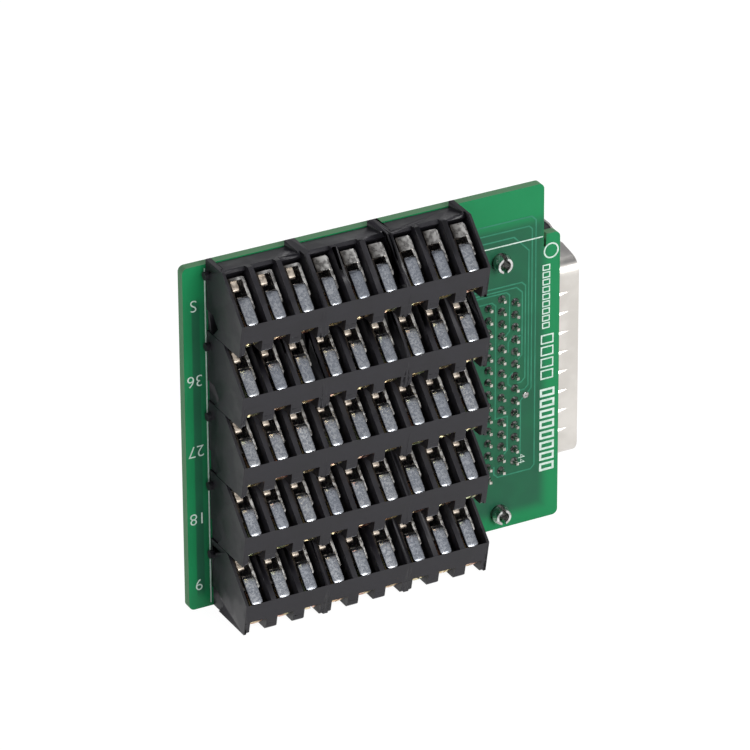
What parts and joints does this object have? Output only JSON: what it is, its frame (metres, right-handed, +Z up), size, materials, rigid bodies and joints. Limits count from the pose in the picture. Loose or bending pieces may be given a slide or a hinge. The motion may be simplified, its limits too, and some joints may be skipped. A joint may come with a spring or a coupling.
{
  "type": "breakout board",
  "caption": "Notched circuit board with rows of slanted screw terminals on its front and a right-angle D-shaped plug behind its edge.",
  "frame": {"origin": "centre of the bounding box at the height of the lower edge", "axes": "+X along the board towards the plug's mouth, +Y from the board's front to its back, +Z up"},
  "size_m": [0.0752, 0.0266, 0.0634],
  "materials": {
    "board": "satin solder mask",
    "housing": "moulded, slightly satin",
    "tinned_sheet": "tinned",
    "guard_sheet": "mottled tin",
    "insulator": "moulded",
    "shell_steel": "plated, drawn",
    "contact_metal": "plated",
    "lock_metal": "tinned",
    "insert_metal": "plated",
    "screw": "yellow passivated"
  },
  "bodies": {
    "board": {"circuit_board": "board", "housing_row_1": "housing", "housing_row_2": "housing", "housing_row_3": "housing", "housing_row_4": "housing", "housing_row_5": "housing", "wire_cages": "tinned_sheet", "wire_guards": "guard_sheet", "connector_body": "insulator", "connector_shell": "shell_steel", "connector_contacts": "contact_metal", "boardlocks": "lock_metal", "threaded_inserts": "insert_metal"},
    "clamp_screw_1": {"terminal_screw_1": "screw"},
    "clamp_screw_2": {"terminal_screw_2": "screw"},
    "clamp_screw_3": {"terminal_screw_3": "screw"},
    "clamp_screw_4": {"terminal_screw_4": "screw"},
    "clamp_screw_5": {"terminal_screw_5": "screw"},
    "clamp_screw_6": {"terminal_screw_6": "screw"},
    "clamp_screw_7": {"terminal_screw_7": "screw"},
    "clamp_screw_8": {"terminal_screw_8": "screw"},
    "clamp_screw_9": {"terminal_screw_9": "screw"},
    "clamp_screw_10": {"terminal_screw_10": "screw"},
    "clamp_screw_11": {"terminal_screw_11": "screw"},
    "clamp_screw_12": {"terminal_screw_12": "screw"},
    "clamp_screw_13": {"terminal_screw_13": "screw"},
    "clamp_screw_14": {"terminal_screw_14": "screw"},
    "clamp_screw_15": {"terminal_screw_15": "screw"},
    "clamp_screw_16": {"terminal_screw_16": "screw"},
    "clamp_screw_17": {"terminal_screw_17": "screw"},
    "clamp_screw_18": {"terminal_screw_18": "screw"},
    "clamp_screw_19": {"terminal_screw_19": "screw"},
    "clamp_screw_20": {"terminal_screw_20": "screw"},
    "clamp_screw_21": {"terminal_screw_21": "screw"},
    "clamp_screw_22": {"terminal_screw_22": "screw"},
    "clamp_screw_23": {"terminal_screw_23": "screw"},
    "clamp_screw_24": {"terminal_screw_24": "screw"},
    "clamp_screw_25": {"terminal_screw_25": "screw"},
    "clamp_screw_26": {"terminal_screw_26": "screw"},
    "clamp_screw_27": {"terminal_screw_27": "screw"},
    "clamp_screw_28": {"terminal_screw_28": "screw"},
    "clamp_screw_29": {"terminal_screw_29": "screw"},
    "clamp_screw_30": {"terminal_screw_30": "screw"},
    "clamp_screw_31": {"terminal_screw_31": "screw"},
    "clamp_screw_32": {"terminal_screw_32": "screw"},
    "clamp_screw_33": {"terminal_screw_33": "screw"},
    "clamp_screw_34": {"terminal_screw_34": "screw"},
    "clamp_screw_35": {"terminal_screw_35": "screw"},
    "clamp_screw_36": {"terminal_screw_36": "screw"},
    "clamp_screw_37": {"terminal_screw_37": "screw"},
    "clamp_screw_38": {"terminal_screw_38": "screw"},
    "clamp_screw_39": {"terminal_screw_39": "screw"},
    "clamp_screw_40": {"terminal_screw_40": "screw"},
    "clamp_screw_41": {"terminal_screw_41": "screw"},
    "clamp_screw_42": {"terminal_screw_42": "screw"},
    "clamp_screw_43": {"terminal_screw_43": "screw"},
    "clamp_screw_44": {"terminal_screw_44": "screw"},
    "clamp_screw_45": {"terminal_screw_45": "screw"}
  },
  "joints": [
    {"name": "clamp_screw_1_turn", "type": "hinge", "parent": "board", "child": "clamp_screw_1", "pos_m": [0.00912, -0.01221, 0.00137], "axis": [0, 0.7071, 0.7071], "range_deg": [0, 2565]},
    {"name": "clamp_screw_2_turn", "type": "hinge", "parent": "board", "child": "clamp_screw_2", "pos_m": [0.00413, -0.01221, 0.00137], "axis": [0, 0.7071, 0.7071], "range_deg": [0, 2565]},
    {"name": "clamp_screw_3_turn", "type": "hinge", "parent": "board", "child": "clamp_screw_3", "pos_m": [-0.00088, -0.01221, 0.00137], "axis": [0, 0.7071, 0.7071], "range_deg": [0, 2565]},
    {"name": "clamp_screw_4_turn", "type": "hinge", "parent": "board", "child": "clamp_screw_4", "pos_m": [-0.00588, -0.01221, 0.00137], "axis": [0, 0.7071, 0.7071], "range_deg": [0, 2565]},
    {"name": "clamp_screw_5_turn", "type": "hinge", "parent": "board", "child": "clamp_screw_5", "pos_m": [-0.01087, -0.01221, 0.00137], "axis": [0, 0.7071, 0.7071], "range_deg": [0, 2565]},
    {"name": "clamp_screw_6_turn", "type": "hinge", "parent": "board", "child": "clamp_screw_6", "pos_m": [-0.01588, -0.01221, 0.00137], "axis": [0, 0.7071, 0.7071], "range_deg": [0, 2565]},
    {"name": "clamp_screw_7_turn", "type": "hinge", "parent": "board", "child": "clamp_screw_7", "pos_m": [-0.02088, -0.01221, 0.00137], "axis": [0, 0.7071, 0.7071], "range_deg": [0, 2565]},
    {"name": "clamp_screw_8_turn", "type": "hinge", "parent": "board", "child": "clamp_screw_8", "pos_m": [-0.02587, -0.01221, 0.00137], "axis": [0, 0.7071, 0.7071], "range_deg": [0, 2565]},
    {"name": "clamp_screw_9_turn", "type": "hinge", "parent": "board", "child": "clamp_screw_9", "pos_m": [-0.03087, -0.01221, 0.00137], "axis": [0, 0.7071, 0.7071], "range_deg": [0, 2565]},
    {"name": "clamp_screw_10_turn", "type": "hinge", "parent": "board", "child": "clamp_screw_10", "pos_m": [0.00912, -0.01221, 0.01407], "axis": [0, 0.7071, 0.7071], "range_deg": [0, 2565]},
    {"name": "clamp_screw_11_turn", "type": "hinge", "parent": "board", "child": "clamp_screw_11", "pos_m": [0.00413, -0.01221, 0.01407], "axis": [0, 0.7071, 0.7071], "range_deg": [0, 2565]},
    {"name": "clamp_screw_12_turn", "type": "hinge", "parent": "board", "child": "clamp_screw_12", "pos_m": [-0.00088, -0.01221, 0.01407], "axis": [0, 0.7071, 0.7071], "range_deg": [0, 2565]},
    {"name": "clamp_screw_13_turn", "type": "hinge", "parent": "board", "child": "clamp_screw_13", "pos_m": [-0.00588, -0.01221, 0.01407], "axis": [0, 0.7071, 0.7071], "range_deg": [0, 2565]},
    {"name": "clamp_screw_14_turn", "type": "hinge", "parent": "board", "child": "clamp_screw_14", "pos_m": [-0.01087, -0.01221, 0.01407], "axis": [0, 0.7071, 0.7071], "range_deg": [0, 2565]},
    {"name": "clamp_screw_15_turn", "type": "hinge", "parent": "board", "child": "clamp_screw_15", "pos_m": [-0.01588, -0.01221, 0.01407], "axis": [0, 0.7071, 0.7071], "range_deg": [0, 2565]},
    {"name": "clamp_screw_16_turn", "type": "hinge", "parent": "board", "child": "clamp_screw_16", "pos_m": [-0.02088, -0.01221, 0.01407], "axis": [0, 0.7071, 0.7071], "range_deg": [0, 2565]},
    {"name": "clamp_screw_17_turn", "type": "hinge", "parent": "board", "child": "clamp_screw_17", "pos_m": [-0.02587, -0.01221, 0.01407], "axis": [0, 0.7071, 0.7071], "range_deg": [0, 2565]},
    {"name": "clamp_screw_18_turn", "type": "hinge", "parent": "board", "child": "clamp_screw_18", "pos_m": [-0.03087, -0.01221, 0.01407], "axis": [0, 0.7071, 0.7071], "range_deg": [0, 2565]},
    {"name": "clamp_screw_19_turn", "type": "hinge", "parent": "board", "child": "clamp_screw_19", "pos_m": [0.00912, -0.01221, 0.02677], "axis": [0, 0.7071, 0.7071], "range_deg": [0, 2565]},
    {"name": "clamp_screw_20_turn", "type": "hinge", "parent": "board", "child": "clamp_screw_20", "pos_m": [0.00413, -0.01221, 0.02677], "axis": [0, 0.7071, 0.7071], "range_deg": [0, 2565]},
    {"name": "clamp_screw_21_turn", "type": "hinge", "parent": "board", "child": "clamp_screw_21", "pos_m": [-0.00088, -0.01221, 0.02677], "axis": [0, 0.7071, 0.7071], "range_deg": [0, 2565]},
    {"name": "clamp_screw_22_turn", "type": "hinge", "parent": "board", "child": "clamp_screw_22", "pos_m": [-0.00588, -0.01221, 0.02677], "axis": [0, 0.7071, 0.7071], "range_deg": [0, 2565]},
    {"name": "clamp_screw_23_turn", "type": "hinge", "parent": "board", "child": "clamp_screw_23", "pos_m": [-0.01087, -0.01221, 0.02677], "axis": [0, 0.7071, 0.7071], "range_deg": [0, 2565]},
    {"name": "clamp_screw_24_turn", "type": "hinge", "parent": "board", "child": "clamp_screw_24", "pos_m": [-0.01588, -0.01221, 0.02677], "axis": [0, 0.7071, 0.7071], "range_deg": [0, 2565]},
    {"name": "clamp_screw_25_turn", "type": "hinge", "parent": "board", "child": "clamp_screw_25", "pos_m": [-0.02088, -0.01221, 0.02677], "axis": [0, 0.7071, 0.7071], "range_deg": [0, 2565]},
    {"name": "clamp_screw_26_turn", "type": "hinge", "parent": "board", "child": "clamp_screw_26", "pos_m": [-0.02587, -0.01221, 0.02677], "axis": [0, 0.7071, 0.7071], "range_deg": [0, 2565]},
    {"name": "clamp_screw_27_turn", "type": "hinge", "parent": "board", "child": "clamp_screw_27", "pos_m": [-0.03087, -0.01221, 0.02677], "axis": [0, 0.7071, 0.7071], "range_deg": [0, 2565]},
    {"name": "clamp_screw_28_turn", "type": "hinge", "parent": "board", "child": "clamp_screw_28", "pos_m": [0.00912, -0.01221, 0.03947], "axis": [0, 0.7071, 0.7071], "range_deg": [0, 2565]},
    {"name": "clamp_screw_29_turn", "type": "hinge", "parent": "board", "child": "clamp_screw_29", "pos_m": [0.00413, -0.01221, 0.03947], "axis": [0, 0.7071, 0.7071], "range_deg": [0, 2565]},
    {"name": "clamp_screw_30_turn", "type": "hinge", "parent": "board", "child": "clamp_screw_30", "pos_m": [-0.00088, -0.01221, 0.03947], "axis": [0, 0.7071, 0.7071], "range_deg": [0, 2565]},
    {"name": "clamp_screw_31_turn", "type": "hinge", "parent": "board", "child": "clamp_screw_31", "pos_m": [-0.00588, -0.01221, 0.03947], "axis": [0, 0.7071, 0.7071], "range_deg": [0, 2565]},
    {"name": "clamp_screw_32_turn", "type": "hinge", "parent": "board", "child": "clamp_screw_32", "pos_m": [-0.01087, -0.01221, 0.03947], "axis": [0, 0.7071, 0.7071], "range_deg": [0, 2565]},
    {"name": "clamp_screw_33_turn", "type": "hinge", "parent": "board", "child": "clamp_screw_33", "pos_m": [-0.01588, -0.01221, 0.03947], "axis": [0, 0.7071, 0.7071], "range_deg": [0, 2565]},
    {"name": "clamp_screw_34_turn", "type": "hinge", "parent": "board", "child": "clamp_screw_34", "pos_m": [-0.02088, -0.01221, 0.03947], "axis": [0, 0.7071, 0.7071], "range_deg": [0, 2565]},
    {"name": "clamp_screw_35_turn", "type": "hinge", "parent": "board", "child": "clamp_screw_35", "pos_m": [-0.02587, -0.01221, 0.03947], "axis": [0, 0.7071, 0.7071], "range_deg": [0, 2565]},
    {"name": "clamp_screw_36_turn", "type": "hinge", "parent": "board", "child": "clamp_screw_36", "pos_m": [-0.03087, -0.01221, 0.03947], "axis": [0, 0.7071, 0.7071], "range_deg": [0, 2565]},
    {"name": "clamp_screw_37_turn", "type": "hinge", "parent": "board", "child": "clamp_screw_37", "pos_m": [0.00912, -0.01221, 0.05217], "axis": [0, 0.7071, 0.7071], "range_deg": [0, 2565]},
    {"name": "clamp_screw_38_turn", "type": "hinge", "parent": "board", "child": "clamp_screw_38", "pos_m": [0.00413, -0.01221, 0.05217], "axis": [0, 0.7071, 0.7071], "range_deg": [0, 2565]},
    {"name": "clamp_screw_39_turn", "type": "hinge", "parent": "board", "child": "clamp_screw_39", "pos_m": [-0.00088, -0.01221, 0.05217], "axis": [0, 0.7071, 0.7071], "range_deg": [0, 2565]},
    {"name": "clamp_screw_40_turn", "type": "hinge", "parent": "board", "child": "clamp_screw_40", "pos_m": [-0.00588, -0.01221, 0.05217], "axis": [0, 0.7071, 0.7071], "range_deg": [0, 2565]},
    {"name": "clamp_screw_41_turn", "type": "hinge", "parent": "board", "child": "clamp_screw_41", "pos_m": [-0.01087, -0.01221, 0.05217], "axis": [0, 0.7071, 0.7071], "range_deg": [0, 2565]},
    {"name": "clamp_screw_42_turn", "type": "hinge", "parent": "board", "child": "clamp_screw_42", "pos_m": [-0.01588, -0.01221, 0.05217], "axis": [0, 0.7071, 0.7071], "range_deg": [0, 2565]},
    {"name": "clamp_screw_43_turn", "type": "hinge", "parent": "board", "child": "clamp_screw_43", "pos_m": [-0.02088, -0.01221, 0.05217], "axis": [0, 0.7071, 0.7071], "range_deg": [0, 2565]},
    {"name": "clamp_screw_44_turn", "type": "hinge", "parent": "board", "child": "clamp_screw_44", "pos_m": [-0.02587, -0.01221, 0.05217], "axis": [0, 0.7071, 0.7071], "range_deg": [0, 2565]},
    {"name": "clamp_screw_45_turn", "type": "hinge", "parent": "board", "child": "clamp_screw_45", "pos_m": [-0.03087, -0.01221, 0.05217], "axis": [0, 0.7071, 0.7071], "range_deg": [0, 2565]}
  ]
}
